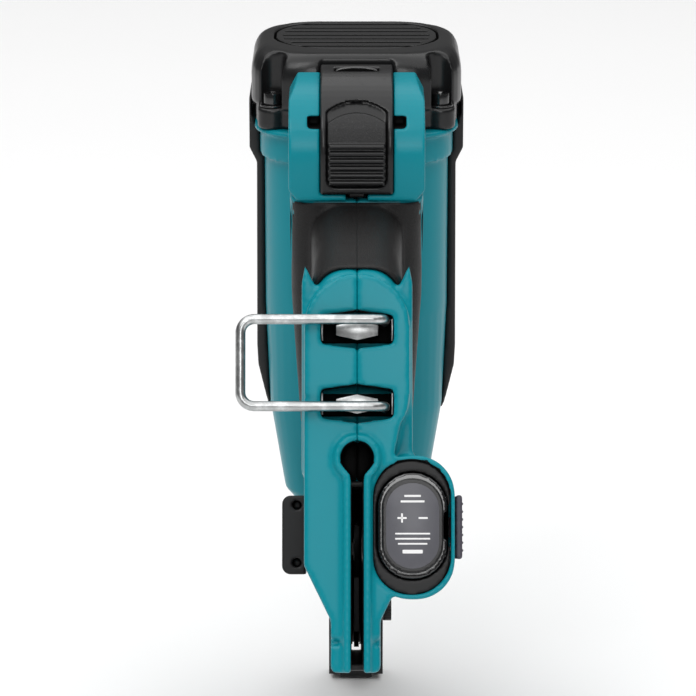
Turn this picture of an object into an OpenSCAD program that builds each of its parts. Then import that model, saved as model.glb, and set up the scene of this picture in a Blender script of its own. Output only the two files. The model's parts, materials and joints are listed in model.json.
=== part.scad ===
// Cordless gas brad nailer with a 20 degree magazine, a stick battery and a gas fuel cell.
// Origin: centre of the nose contact face on the drive axis. +Z runs up the drive axis,
// -Y points to the handle and magazine, +X is the battery side. Millimetres.

/* [Head] */
// Height from the nose contact face to the top of the cap
overall_h = 328; // [322:1:334]
// Half width of the cap on top of the head
cap_hx = 50; // [48:0.5:52]
// Height of the joint between cap and housing
cap_z0 = 292; // [291:0.5:293]
// Half width of the main body at the chamber
body_hx = 44; // [43:0.5:45]

/* [Engine] */
// Bore radius of the cylinder
bore_r = 20; // [19:0.5:20.5]
// Travel of the piston and driver blade
stroke = 75; // [70:1:75]
// Travel of the nose contact and chamber sleeve
contact_travel = 10; // [8:0.5:10]
// Radius of the fuel cell can
fuel_r = 15.5; // [14:0.5:15.5]

/* [Magazine] */
// Angle of the magazine above the horizontal
mag_tilt = 20; // [20:1:20]
// Distance from the drive axis to the rear face, along the magazine
tail_u = 246; // [240:1:250]
// Length of the nails
nail_len = 64; // [50:1:64]
// Number of nails in the strip
nail_count = 34; // [10:1:34]

/* [Handle and foot] */
// Half width of the grip at its waist
grip_hx = 17.5; // [16:0.5:19]
// Half width of the foot behind the grip
foot_hx = 23; // [22:0.5:23.5]
// Diameter of the belt hook's wire
wire_d = 4.5; // [4:0.1:5]

/* [Hidden] */
$fn = 48;
soft_fn = 32;
CLEAR = 0.3;
sin_t = sin(mag_tilt);
cos_t = cos(mag_tilt);
teal = [0.05, 0.54, 0.59];
black = [0.14, 0.14, 0.15];
rubber = [0.24, 0.22, 0.22];
steel = [0.72, 0.73, 0.75];
alloy = [0.80, 0.81, 0.82];
grey = [0.35, 0.35, 0.36];

// Engine heights
shelf_z = 196;
cyl_z0 = 112;
cyl_top = 213;
bumper_h = 13;
piston_h = 8;
piston_z0 = cyl_z0 + 1.5 + bumper_h + 1 + stroke;
blade_tip_z = 84;
sleeve_r = 30;
sleeve_wall = 3;
sleeve_z0 = 207;
sleeve_z1 = cap_z0 - 3 - contact_travel - CLEAR;
rod_x = 18;
rod_y = 25.8;
rod_r = 1.6;
yoke_z = 97;
leg_x = 11;
leg_t = 2.6;

// Fuel bay
fuel_y = -58;
fuel_z0 = 166;
fuel_z1 = 290;
bay_hx = 31.3;
bay_rear = -92;
door_hx = 16.7;
hinge_y = -50;
hinge_z = 318.2;

// Handle
trigger_y = -84;
trigger_z = 226;
pin_hx = 13;

// Tail, measured in the magazine's own frame: x, w across it, u along it
foot_u0 = tail_u - 24;
mag_end_u = tail_u - 24;
slot_hx = 2.45;
lip_hx = 5.9;
mag_w0 = 9.2;
mag_w1 = 93;
foot_top = 183;
windows = [158.8, 126.4];
hook_w = [163, 125];
hook_leg_x = -50.9;
hook_end_x = 12.4;
hook_u = tail_u + 3.2;
battery_x = 24.1;
battery_w = 73;
battery_hx = 15.2;
battery_hw = 23.2;
battery_u0 = tail_u - 92;
pusher_u = 82;

// ---------- helpers ----------

// Rounded rectangle made of squares and circles, so its corners stay true arcs
module rounded(x0, x1, y0, y1, r) {
  translate([x0 + r, y0]) square([x1 - x0 - 2 * r, y1 - y0]);
  translate([x0, y0 + r]) square([x1 - x0, y1 - y0 - 2 * r]);
  for (x = [x0 + r, x1 - r], y = [y0 + r, y1 - r])
    translate([x, y]) circle(r);
}

// Upright prism of a rounded rectangle, symmetric about X
module block(z0, z1, hx, y0, y1, r) {
  translate([0, 0, z0]) linear_extrude(z1 - z0) rounded(-hx, hx, y0, y1, r);
}

// Thin horizontal slice for hulls
module slice(z, hx, y0, y1, r) {
  block(z, z + 0.02, hx, y0, y1, r, $fn = soft_fn);
}

// Thin upright slice across the handle
module grip_slice(y, hx, z0, z1, r) {
  translate([0, y, 0]) rotate([90, 0, 0]) linear_extrude(0.02)
    rounded(-hx, hx, z0, z1, r, $fn = soft_fn);
}

// Extrudes a (y, z) outline across X
module across(x0, x1) {
  translate([x0, 0, 0]) rotate([90, 0, 90]) linear_extrude(x1 - x0) children();
}

// Extrudes an (x, z) outline from y0 back to y1
module rearward(y0, y1) {
  translate([0, y0, 0]) rotate([90, 0, 0]) linear_extrude(y0 - y1) children();
}

// Turns the magazine's frame (x, w, u) into the part's frame
module tail() {
  rotate([90 - mag_tilt, 0, 0]) children();
}

// Extrudes an (x, w) outline from u0 to u1 along the magazine
module tail_prism(u0, u1) {
  tail() translate([0, 0, u0]) linear_extrude(u1 - u0) children();
}

// Point on the magazine's feed line, u along it and h above the nail tips, as [y, z]
nail_z0 = 16.5;
function feed(u, h) = [-u * cos_t, nail_z0 + u * sin_t + h];

module tube(r0, r1, h) {
  difference() {
    cylinder(r = r1, h = h);
    translate([0, 0, -1]) cylinder(r = r0, h = h + 2);
  }
}

// Coil spring as a stack of rings joined by a thin seam, along +Z
module coil(r, wire, h, turns) {
  pitch = (h - wire) / (turns - 1);
  for (i = [0 : turns - 1])
    translate([0, 0, wire / 2 + i * pitch])
      rotate_extrude($fn = 24) translate([r, 0]) circle(wire / 2, $fn = 12);
  translate([r, 0, wire / 2]) cylinder(r = wire / 3, h = h - wire, $fn = 12);
}

module socket_screw(head_r, head_h, shank_r, shank_h) {
  difference() {
    union() {
      cylinder(r = head_r, h = head_h);
      translate([0, 0, -shank_h]) cylinder(r = shank_r, h = shank_h + 0.1);
    }
    translate([0, 0, head_h / 2]) cylinder(r = head_r * 0.55, h = head_h, $fn = 6);
  }
}

// ---------- housing ----------

// Drive axis column: collar, chamber section and the taper down to the nose
module column_form(grow = 0) {
  block(cap_z0 - 3, cap_z0, 48.5 + grow, -50 - grow, 50 + grow, 26);
  block(276, cap_z0 - 3, 46 + grow, -47.5 - grow, 47.5 + grow, 28);
  block(200, 276, body_hx + grow, -45.5 - grow, 45.5 + grow, 30);
  hull() {
    slice(200, body_hx + grow, -45.5 - grow, 45.5 + grow, 30);
    slice(150, 42 + grow, -40 - grow, 42 + grow, 24);
  }
  hull() {
    slice(150, 42 + grow, -40 - grow, 42 + grow, 24);
    slice(106, 35 + grow, -30 - grow, 35 + grow, 16);
  }
  hull() {
    slice(106, 35 + grow, -30 - grow, 35 + grow, 16);
    slice(84, 17 + grow, -20 - grow, 31 + grow, 8);
  }
}

// Column behind the chamber that holds the fuel cell
module spine_form(grow = 0) {
  hull() {
    slice(269.9, 31 + grow, bay_rear + 2 - grow, -20, 12);
    slice(221, 29 + grow, -84 - grow, -20, 12);
  }
  hull() {
    slice(221, 29 + grow, -84 - grow, -20, 12);
    slice(152, 25 + grow, -78 - grow, -20, 12);
  }
}

module grip_form(grow = 0) {
  hull() {
    grip_slice(-78, 20 + grow, 222 - grow, 268 + grow, 15);
    grip_slice(-124, grip_hx + grow, 220 - grow, 261 + grow, 14);
  }
  hull() {
    grip_slice(-124, grip_hx + grow, 220 - grow, 261 + grow, 14);
    grip_slice(-162, 19 + grow, 208 - grow, 254 + grow, 14);
  }
}

// Foot under the hand: an arch on top and the tail block below it
module foot_form() {
  tail_prism(foot_u0, tail_u) rounded(-foot_hx, foot_hx, 108, foot_top, foot_hx - 0.5);
  tail_prism(tail_u - 52, tail_u) polygon([[-23.2, 128], [-23.2, 55.7], [-11.6, 32],
    [10.3, 32], [16.3, 44.4], [16.3, 104.5], [21, 128]]);
  tail_prism(battery_u0 - 4, tail_u)
    rounded(6, 42.6, 41, 103.7, 17);
  for (s = [-1, 1]) tail_prism(foot_u0 - 6, foot_u0 + 14) polygon([[s * 24.4, 96], [s * 24.4, 180],
    [s * 22.9, 188], [s * 18.4, 178], [s * 18.4, 97]]);
  tail_prism(mag_end_u, tail_u) polygon([[-10, mag_w0], [-11.5, mag_w0 + 1.5], [-11.5, 38],
    [10.2, 38], [10.2, mag_w0 + 1.5], [8.7, mag_w0]]);
  tail_prism(mag_end_u, tail_u + 3) {
    translate([-lip_hx, mag_w0]) square([2 * lip_hx, 88]);
    keyhole_outline(3);
  }
}

// Loading mouth: a round top that funnels down to the slot
keyhole_r = 7.3;
module keyhole_outline(grow = 0) {
  translate([0, 102.7]) circle(keyhole_r + grow);
  polygon([[-keyhole_r - grow, 101.5], [-slot_hx - grow, 94], [slot_hx + grow, 94],
    [keyhole_r + grow, 101.5]]);
}

module battery_outline(grow) {
  rounded(battery_x - battery_hx - grow, battery_x + battery_hx + grow,
    battery_w - battery_hw - grow, battery_w + battery_hw + grow, battery_hx + grow - 0.01);
}

module pocket_outline(grow = 0) {
  rounded(6.9 - grow, 40.6 + grow, 43 - grow, 101.7 + grow, 16.2);
}

// Way through the pocket's wall for the release button
button_u0 = tail_u - 42;
module button_opening() {
  tail_prism(button_u0 - 1, tail_u - 5) translate([39, 57.7]) square([8, 29.6]);
}

// Everything hollow inside the two housing halves
module housing_space() {
  translate([0, 0, shelf_z]) cylinder(r = 36, h = 120);
  translate([0, 0, cyl_z0]) cylinder(r = 23.5 + CLEAR, h = 100);
  translate([-24, -6, 78]) cube([48, 36, cyl_z0 - 78]);
  translate([-17, -25, 78]) cube([34, 33, cyl_z0 - 78]);
  for (s = [-1, 1]) translate([s * rod_x, rod_y, 90]) {
    cylinder(r = 4.6, h = 51);
    cylinder(r = 2.4, h = 130);
  }
  translate([0, fuel_y, fuel_z0]) cylinder(r = fuel_r + 0.8, h = 200);
  translate([-12, -150, 232]) cube([24, 74, 21]);
  translate([-7, -106, 198]) cube([14, 32, 36]);
  for (w = windows) tail_prism(foot_u0 + 4, tail_u + 5) window_outline(w);
  tail_prism(battery_u0, tail_u + 5) pocket_outline();
  tail_prism(10, mag_end_u) translate([-lip_hx - 0.1, 0]) square([2 * lip_hx + 0.2, 93.3]);
  tail_prism(10, mag_end_u) translate([-11.8, 0]) square([22.4, 33.3]);
  tail_prism(mag_end_u - 6, tail_u + 5) keyhole_outline();
  tail_prism(mag_end_u - 1, tail_u + 5) translate([-slot_hx, 0]) square([2 * slot_hx, 98]);
  tail_prism(tail_u - 3, tail_u + 1) for (s = [-1, 1]) translate([s * 9.5 - 2.5, 21]) square([5, 2.6]);
  button_opening();
}

// Wide hexagon with its points above and below, the shape of the hook windows
window_hx = 16;
window_side = 6.2;
window_point = 8.4;
module window_outline(w) {
  translate([0, w]) hexagon(window_hx, window_side, window_point);
}

module hexagon(hx, side, point) {
  polygon([[-hx, -side], [0, -point], [hx, -side], [hx, side], [0, point], [-hx, side]]);
}

module housing_half(side) {
  intersection() {
    difference() {
      union() {
        column_form();
        spine_form();
        grip_form();
        foot_form();
      }
      housing_space();
      housing_screw_holes();
    }
    translate([side > 0 ? 0 : -100, -300, -20]) cube([100, 500, 400]);
  }
}

screw_spots = [[33.5, 120], [-88, 258], [-155, 240], [-60, 158]];

module housing_screw_holes() {
  for (p = screw_spots) translate([-60, p[0], p[1]]) rotate([0, 90, 0]) cylinder(r = 1.6, h = 120);
  translate([-pin_hx - 0.1, trigger_y, trigger_z]) rotate([0, 90, 0])
    cylinder(r = 1.51, h = 2 * pin_hx + 0.2);
}

module housing_left() { color(teal) housing_half(-1); }
module housing_right() { color(teal) housing_half(1); }

// ---------- head ----------

scallop_r = 6.4;
scallop_x = 39.6;
cap_screw_y = [-35, 40];

module grille_outline(grow = 0) {
  rounded(-39.6 + grow, 39.6 - grow, -25 + grow, 43 - grow, 30);
}

module head_cap() {
  color(black) difference() {
    union() {
      block(cap_z0, 302, 48, -44, 48.5, 26);
      for (s = [-1, 1], y = cap_screw_y) translate([s * scallop_x, y, cap_z0]) cylinder(r = 7.2, h = 10);
      hull() {
        slice(302, cap_hx, -45, 50, 26);
        for (a = [0 : 15 : 90]) let (back = 8 * (1 - cos(a)))
          slice(316 + (overall_h - 316.02) * sin(a), cap_hx - back, back - 45, 50 - back, 26);
      }
    }
    block(cap_z0 - 1, 320.5, 37, -36.5, 38, 26);
    translate([0, 0, 319]) linear_extrude(20) grille_outline();
    translate([-17.4, -50, 310]) cube([34.8, 8.8, 20]);
    for (s = [-1, 1], y = cap_screw_y) {
      translate([s * scallop_x, y + (y < 0 ? -2 : 2), 302.1]) cylinder(r = scallop_r, h = 40);
      translate([s * scallop_x, y, cap_z0 - 1]) cylinder(r = 2.1, h = 20);
    }
  }
}

groove_pitch = 9;
module filter_grille() {
  color(black) difference() {
    translate([0, 0, 320.6]) linear_extrude(overall_h - 321) grille_outline(0.2);
    translate([0, 0, 325]) linear_extrude(10) difference() {
      grille_outline(-1);
      grille_outline(1);
    }
    for (i = [-3 : 3]) let (half = 35.5 - i * i)
      translate([-half, 9 + i * groove_pitch - 1.2, 310]) cube([2 * half, 2.4, 30]);
  }
}

module air_filter() {
  color(grey) translate([0, 0, 318.2]) linear_extrude(2) rounded(-33, 33, -22, 34, 22);
}

module cap_screws() {
  color(steel) for (s = [-1, 1], y = cap_screw_y)
    translate([s * scallop_x, y, 302.1]) socket_screw(4.2, 6.5, 2, 9);
}

module side_guard(s) {
  color(black) mirror([s > 0 ? 0 : 1, 0, 0]) difference() {
    intersection() {
      rearward(30, -14) polygon([[40, 272],
        [46.2, 275], [46.2, 288.8], [48.7, 288.8], [48.7, 305], [51.4, 302], [51.4, 277],
        [47.9, 270], [48.5, 178], [48, 168], [42.3, 144], [30, 144]]);
      across(-60, 60) rounded(-14, 30, 144, 305, 9);
      block(100, 310, 51.4, -46, 50, 30);
    }
    column_form(0.15);
    block(cap_z0, 330, cap_hx + 0.2, -45.2, 50.2, 26);
  }
}
module side_guard_left() { side_guard(-1); }
module side_guard_right() { side_guard(1); }

// Cuts the corners off an open line of points, which rounds it
function cut_corners(p) = concat([p[0]], [for (i = [0 : len(p) - 2], t = [0.25, 0.75])
  p[i] * (1 - t) + p[i + 1] * t], [p[len(p) - 1]]);

bay_top = cut_corners(cut_corners([[-46.5, 321], [-60, 320], [-75, 315.5], [-86, 306],
  [bay_rear + 1.2, 296], [bay_rear, 288], [bay_rear, 270]]));
bay_foot = [[-46, 270], [-46, 275.8], [-48, 276], [-48, 288.8], [-50.4, 288.8], [-50.4, 292.3],
  [-46.5, 292.3]];

// Outline of the bay frame from behind, with cut corners
module bay_outline() {
  corners = [[27.8, 330], [27.8, 320.2], [bay_hx + 0.1, 313.5], [bay_hx + 0.1, 275], [27.5, 269.9]];
  polygon(concat(corners, [for (i = [len(corners) - 1 : -1 : 0]) [-corners[i][0], corners[i][1]]]));
}

module bay_frame() {
  color(teal) difference() {
    intersection() {
      across(-bay_hx, bay_hx) polygon(concat(bay_top, bay_foot));
      rearward(0, -120) bay_outline();
    }
    translate([0, fuel_y, 260]) cylinder(r = fuel_r + 0.8, h = 80);
    across(-door_hx - CLEAR, door_hx + CLEAR) polygon([[-40, 330], [-40, 313], [-75, 308],
      [-84, 300], [-88.5, 288], [-88.5, 272.8], [-100, 272.8], [-100, 330]]);
    for (s = [-1, 1]) translate([s * 19.6 - 2.8, -100, 302.5]) cube([5.6, 24, 5]);
    translate([-30, hinge_y, hinge_z]) rotate([0, 90, 0]) cylinder(r = 1.27, h = 60);
    translate([-5, -100, 268]) cube([10, 17, 28]);
    translate([-40, -100, 271.3]) cube([80, 8.9, 0.9]);
  }
}

module door_hinge_pin() {
  color(steel) translate([-20, hinge_y, hinge_z]) rotate([0, 90, 0]) cylinder(r = 1.25, h = 40);
}

module grip_cover() {
  color(rubber) difference() {
    union() {
      intersection() {
        grip_form(1.8);
        translate([-40, -158, 215]) cube([80, 76, 60]);
      }
      hull() {
        slice(221, 30.4, -85.8, -40, 13);
        slice(155, 26.4, -79.6, -40, 13);
      }
      hull() {
        slice(269.5, 31.2, -91.6, -60, 13);
        slice(221, 30.4, -85.8, -60, 13);
      }
    }
    grip_form(0.02);
    foot_form();
    spine_form(0.08);
    column_form();
    translate([-8, -110, 190]) cube([16, 40, 38]);
    translate([-40, -58, 100]) cube([80, 40, 180]);
  }
}

// ---------- engine ----------

module cylinder_head() {
  color(alloy) difference() {
    translate([0, 0, cap_z0 - 2]) cylinder(r = 35.5, h = 7);
    translate([0, 0, 280]) cylinder(r = 4.2, h = 30);
    translate([24, 8, 280]) cylinder(r = 3, h = 30);
    translate([0, 0, cap_z0 - 3]) difference() {
      cylinder(r = sleeve_r + sleeve_wall + 0.5, h = 3);
      cylinder(r = sleeve_r - 0.5, h = 3);
    }
  }
}

module head_seal() {
  color(rubber) translate([0, 0, cap_z0 - 2.9])
    tube(sleeve_r - 0.5, sleeve_r + sleeve_wall + 0.5, 2.9);
}

module spark_plug() {
  color("white") translate([24, 8, cap_z0 - 8]) {
    cylinder(r = 1.2, h = 4);
    translate([0, 0, 4]) cylinder(r = 2.98, h = 9);
    translate([0, 0, 13]) cylinder(r = 4, h = 8);
  }
}

module fan_motor() {
  color(grey) translate([0, 0, cap_z0 + 5]) difference() {
    cylinder(r = 13, h = 19);
    translate([0, 0, -1]) cylinder(r = 1.04, h = 12);
  }
}

module fan() {
  color(black) {
    translate([0, 0, cap_z0 - 12]) cylinder(r = 5, h = 7);
    translate([0, 0, cap_z0 - 6]) cylinder(r = 1, h = 21);
    for (i = [0 : 4]) rotate([0, 0, i * 72])
      translate([4, 0, cap_z0 - 8.5]) rotate([28, 0, 0]) translate([0, -5, -0.7]) cube([17, 10, 1.4]);
  }
}

module liner_form() {
  cylinder(r = bore_r + 3.5, h = cyl_top - cyl_z0 - 6);
  translate([0, 0, shelf_z - cyl_z0]) cylinder(r = 28.5, h = 8);
  translate([0, 0, shelf_z - cyl_z0 + 7]) cylinder(r = 25, h = cyl_top - shelf_z - 7);
}

module cylinder_body() {
  translate([0, 0, cyl_z0]) difference() {
    liner_form();
    translate([0, 0, 1.5]) cylinder(r = bore_r, h = 200);
    translate([-5, -5, -1]) cube([10, 10, 10]);
    for (i = [0 : 5]) rotate([0, 90, i * 60 + 30]) translate([-20, 0, 0]) cylinder(r = 3, h = 40);
  }
}

module cylinder_liner() { color(alloy) cylinder_body(); }

module bumper() {
  color(rubber) translate([0, 0, cyl_z0 + 1.5]) tube(6, bore_r - 0.2, bumper_h);
}

module piston() {
  color(alloy) translate([0, 0, piston_z0]) difference() {
    cylinder(r = bore_r - 0.06, h = piston_h);
    translate([0, 0, 3]) tube(bore_r - 1.6, bore_r + 2, 2);
    translate([-1.5, -0.8, -1]) cube([3, 1.6, 5]);
    translate([0, 0, 5.5]) cylinder(r = 12, h = 5);
  }
}

module piston_ring() {
  color(steel) translate([0, 0, piston_z0 + 3]) tube(bore_r - 1.6, bore_r - 0.04, 2);
}

module driver_blade() {
  color(steel) translate([-1.5, -0.8, blade_tip_z]) cube([3, 1.6, piston_z0 + 4 - blade_tip_z]);
}

guide_z1 = cyl_z0;
module driver_guide() {
  color(steel) difference() {
    union() {
      translate([-9, -10, 16]) cube([18, 11.5, guide_z1 - 16]);
      translate([-15, -24, guide_z1 - 10]) cube([30, 15, 10]);
    }
    translate([-1.7, -1, 10]) cube([3.4, 3, 120]);
    translate([-slot_hx, -30, 10]) cube([2 * slot_hx, 29, 77]);
    for (s = [-1, 1]) translate([s * 11, -19, 80]) cylinder(r = 1.6, h = 50);
    for (z = [30, 90], s = [-1, 1]) translate([s * 6, -20, z]) rotate([-90, 0, 0])
      cylinder(r = 1.25, h = 40);
  }
}

module nose_plate() {
  color(steel) difference() {
    translate([-9, 1.5, 16]) cube([18, 5, 80]);
    translate([-1.7, 1.4, 10]) cube([3.4, 0.6, 100]);
    for (z = [30, 90], s = [-1, 1]) translate([s * 6, -20, z]) rotate([-90, 0, 0])
      cylinder(r = 1.25, h = 40);
  }
}

module nose_screws() {
  color(steel) for (z = [30, 90], s = [-1, 1])
    translate([s * 6, 6.5, z]) rotate([-90, 0, 0]) socket_screw(2.4, 2.2, 1.25, 12);
}

// ---------- nose contact and chamber sleeve ----------

module contact_foot() {
  color(black) {
    difference() {
      translate([-leg_x - leg_t, -6.5, 2]) cube([2 * (leg_x + leg_t), 14, 3.4]);
      translate([0, 0, -5]) cylinder(r = 2.3, h = 20);
    }
    for (s = [-1, 1]) difference() {
      translate([s > 0 ? leg_x : -leg_x - leg_t, -4.5, 5.3]) cube([leg_t, 9, yoke_z - 5.3]);
      if (s > 0) translate([0, 0, 34.5]) rotate([0, 90, 0]) cylinder(r = 1.52, h = 40);
    }
  }
}

module nose_tip() {
  color(rubber) difference() {
    translate([-8, -6, 0]) cube([16, 13, 2]);
    translate([0, 0, -5]) cylinder(r = 2.3, h = 20);
  }
}

module depth_dial() {
  color(black) translate([leg_x + leg_t + 0.1, 0, 34.5]) rotate([0, 90, 0]) difference() {
    union() {
      cylinder(r = 5.6, h = 4.2);
      translate([0, 0, -leg_t - 0.1]) cylinder(r = 1.48, h = leg_t + 1);
    }
    for (i = [0 : 11]) rotate([0, 0, i * 30]) translate([5.9, 0, -1]) cylinder(r = 0.8, h = 8);
  }
}

module contact_linkage() {
  color(steel) {
    for (s = [-1, 1]) {
      translate([s * rod_x, rod_y, yoke_z + 2.9]) cylinder(r = rod_r, h = sleeve_z0 - yoke_z - 2.9);
      translate([s > 0 ? leg_x - 0.5 : -leg_x - leg_t + 0.5, -4.5, yoke_z]) cube([leg_t, 27, 3]);
    }
    translate([0, 0, yoke_z]) linear_extrude(3) rounded(-rod_x - 4, rod_x + 4, rod_y - 4, rod_y + 3.5, 3.5);
  }
}

module contact_springs() {
  color(steel) for (s = [-1, 1]) translate([s * rod_x, rod_y, yoke_z + 3.05]) coil(3.2, 0.9, 40, 8);
}

module chamber_sleeve() {
  color(alloy) translate([0, 0, sleeve_z0])
    tube(sleeve_r, sleeve_r + sleeve_wall, sleeve_z1 - sleeve_z0);
}

// ---------- magazine ----------

module magazine_body() {
  color(black) difference() {
    tail_prism(16, mag_end_u - 0.1) {
      translate([-lip_hx, mag_w0 + 2]) square([2 * lip_hx, mag_w1 - mag_w0 - 2]);
      polygon([[-10, mag_w0], [-11.5, mag_w0 + 1.5], [-11.5, 29],
        [-8, 33], [8, 33], [10.2, 29], [10.2, mag_w0 + 1.5], [8.7, mag_w0]]);
    }
    tail_prism(10, tail_u) translate([-slot_hx - 1, mag_w0 + 3]) square([2 * slot_hx + 2, 78]);
    tail_prism(pusher_u - 4, foot_u0 - 30) translate([-15, 58]) square([12, 10]);
    translate([-20, -10.3, -10]) cube([40, 40, 150]);
    translate([-20, -24.3, guide_z1 - 10.3]) cube([40, 40, 40]);
  }
}

module magazine_rails() {
  color(steel) for (s = [-1, 1]) difference() {
    tail_prism(16.2, mag_end_u - 0.2) translate([s > 0 ? slot_hx : -slot_hx - 0.9, mag_w0 + 3.1])
      square([0.9, 77.8]);
    translate([-20, -10.4, -10]) cube([40, 40, 150]);
    translate([-20, -24.4, guide_z1 - 10.4]) cube([40, 40, 40]);
    tail_prism(pusher_u - 4, foot_u0 - 30) translate([-15, 58]) square([13, 10]);
  }
}

nail_pitch = 2.3;
nail_r = 0.8;
module nail_strip() {
  color(steel) {
    for (i = [1 : nail_count - 1]) let (p = feed(i * nail_pitch, 0)) translate([0, p[0], p[1]]) {
      translate([0, 0, 3]) cylinder(r = nail_r, h = nail_len - 4, $fn = 8);
      cylinder(r1 = 0.1, r2 = nail_r, h = 3.01, $fn = 8);
      translate([0, 0, nail_len - 1.2]) cylinder(r = 1.15, h = 1.2, $fn = 8);
    }
    for (h = [18, 40]) feed_plate(-0.35, 0.35, nail_pitch, (nail_count - 1) * nail_pitch, h, h + 6);
  }
}

// Outline on the feed line from u0 to u1 and from h0 to h1, with upright ends
module feed_plate(x0, x1, u0, u1, h0, h1) {
  across(x0, x1) polygon([feed(u0, h0), feed(u1, h0), feed(u1, h1), feed(u0, h1)]);
}

module pusher() {
  color(steel) {
    feed_plate(-1.15, 1.15, pusher_u, pusher_u + 22, 1, 62);
    tail_prism(pusher_u + 28, pusher_u + 40) translate([-1.15, 24]) square([2.3, 50]);
    tail_prism(pusher_u + 24, pusher_u + 38) translate([-24, 60]) square([23, 6]);
  }
}

module pusher_knob() {
  color(black) difference() {
    tail_prism(pusher_u + 10, pusher_u + 52) union() {
      rounded(-35, -24, 51, 88, 4);
      translate([-30, 51]) square([6, 37]);
    }
    for (w = [56.5, 83.5]) tail() translate([-28, w, pusher_u + 44]) cylinder(r = 2.2, h = 20);
  }
}

module pusher_spring() {
  color(steel) tail() translate([-6.4, 71.6, pusher_u + 31]) rotate([0, -90, 0]) tube(2.5, 5.5, 9);
}

// ---------- handle ----------

module trigger() {
  color(black) difference() {
    across(-6, 6) union() {
      polygon([[trigger_y + 5, trigger_z + 5], [trigger_y - 20, trigger_z + 3],
        [trigger_y - 21, trigger_z], [trigger_y - 13, trigger_z - 5],
        [trigger_y - 9, trigger_z - 14], [trigger_y - 7, trigger_z - 24],
        [trigger_y - 4, trigger_z - 25], [trigger_y - 1, trigger_z - 14],
        [trigger_y + 5, trigger_z - 4]]);
      translate([trigger_y, trigger_z]) circle(5);
    }
    translate([-20, trigger_y, trigger_z]) rotate([0, 90, 0]) cylinder(r = 1.55, h = 40);
  }
}

module trigger_pin() {
  color(steel) translate([-pin_hx, trigger_y, trigger_z]) rotate([0, 90, 0])
    cylinder(r = 1.5, h = 2 * pin_hx);
}

module trigger_spring() {
  color(steel) translate([0, trigger_y - 15, trigger_z + 4.2]) coil(2, 0.6, 3.4, 3);
}

module trigger_switch() {
  color(grey) {
    translate([-5, trigger_y - 22, trigger_z + 8]) cube([10, 14, 9]);
    translate([-1.5, trigger_y - 11, trigger_z + 6.3]) cube([3, 2.6, 1.8]);
  }
}

module circuit_board() {
  color([0.1, 0.35, 0.2]) {
    translate([-10, -148, 244]) cube([20, 60, 1.6]);
    translate([-7, -144, 245.6]) cube([14, 12, 5]);
    translate([-6, -126, 245.6]) cube([8, 8, 3]);
  }
}

module housing_screws() {
  color(steel) for (p = screw_spots) translate([14, p[0], p[1]]) rotate([0, 90, 0])
    rotate([180, 0, 0]) cylinder(r = 1.55, h = 28);
}

// ---------- fuel cell and its door ----------

module fuel_cell() {
  color([0.75, 0.2, 0.15]) translate([0, fuel_y, fuel_z0]) {
    cylinder(r = fuel_r, h = fuel_z1 - fuel_z0 - 6);
    translate([0, 0, fuel_z1 - fuel_z0 - 6]) cylinder(r = fuel_r - 3, h = 6);
  }
}

module fuel_valve() {
  color(grey) translate([0, fuel_y - 4, fuel_z1 + 0.1]) {
    cylinder(r = 8, h = 10);
    translate([-6, -8, 10]) cube([12, 12, 4]);
  }
}

door_outer = cut_corners(cut_corners([[hinge_y + 2, 325], [-62, 323], [-76.5, 317.4], [-88, 307.3],
  [-92.6, 296.5], [-93.4, 288], [-93.4, 273.4]]));
door_inner = [[-89, 273.4], [-89, 288], [-86, 299], [-76, 309.5], [-62, 315.2],
  [hinge_y, hinge_z - 2.2]];

// Everything behind the door's outer face, moved in by a distance
module behind_door(inset) {
  translate([0, inset, -0.75 * inset]) across(-30, 30)
    polygon(concat(door_outer, [[hinge_y, 273.4]]));
}

// Thumb pad from behind: a rounded plate with an arched top
module pad_outline(hx, z0, z1) {
  intersection() {
    rounded(-hx, hx, z0, z1, 4.5);
    translate([0, z1 - 24]) circle(24);
  }
}

module fuel_door() {
  color(black) difference() {
    union() {
      across(-door_hx, door_hx) polygon(concat(door_outer, door_inner));
      translate([-door_hx, hinge_y, hinge_z]) rotate([0, 90, 0]) cylinder(r = 2.9, h = 2 * door_hx);
    }
    translate([-30, hinge_y, hinge_z]) rotate([0, 90, 0]) cylinder(r = 1.31, h = 60);
    translate([-10.3, -58, 320.9]) cube([20.6, 5.6, 10]);
    difference() {
      rearward(-70, -110) pad_outline(13.9, 276.5, 314.4);
      behind_door(1.75);
    }
    translate([-4, -100, 281]) cube([8, 20, 10]);
  }
}

rib_pitch = 3.4;
module door_latch() {
  color(black) {
    difference() {
      intersection() {
        rearward(-70, -110) pad_outline(13.3, 277.1, 309.6);
        behind_door(-0.3);
      }
      behind_door(1.5);
    }
    intersection() {
      for (i = [0 : 5]) translate([-12.7, -97, 278 + i * rib_pitch]) cube([25.4, 5, 1.9]);
      behind_door(-1.9);
    }
    translate([-3.6, -92, 281.3]) cube([7.2, 4.6, 5]);
    translate([-3.6, -88.6, 270.5]) cube([7.2, 1.2, 15.8]);
  }
}

module door_latch_spring() {
  color(steel) translate([0, -85.6, 272.5]) coil(1.2, 0.5, 8, 5);
}

// ---------- battery ----------

module battery_case() {
  color(black) tail_prism(battery_u0 + 6, tail_u - 1) difference() {
    battery_outline(0);
    translate([battery_x + battery_hx - 1.6, battery_w - 6]) square([3, 12]);
  }
}

// Black lining of the battery pocket
module battery_guide() {
  color(black) difference() {
    tail_prism(battery_u0 + 5.2, tail_u - 2) difference() {
      pocket_outline(-0.05);
      battery_outline(0.5);
    }
    button_opening();
  }
}

module battery_cap() {
  color(grey) tail_prism(tail_u - 1, tail_u + 1.4)
    rounded(battery_x - battery_hx + 1.7, battery_x + battery_hx - 1.7,
      battery_w - battery_hw + 2.5, battery_w + battery_hw - 2.5, battery_hx - 2);
}

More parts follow.
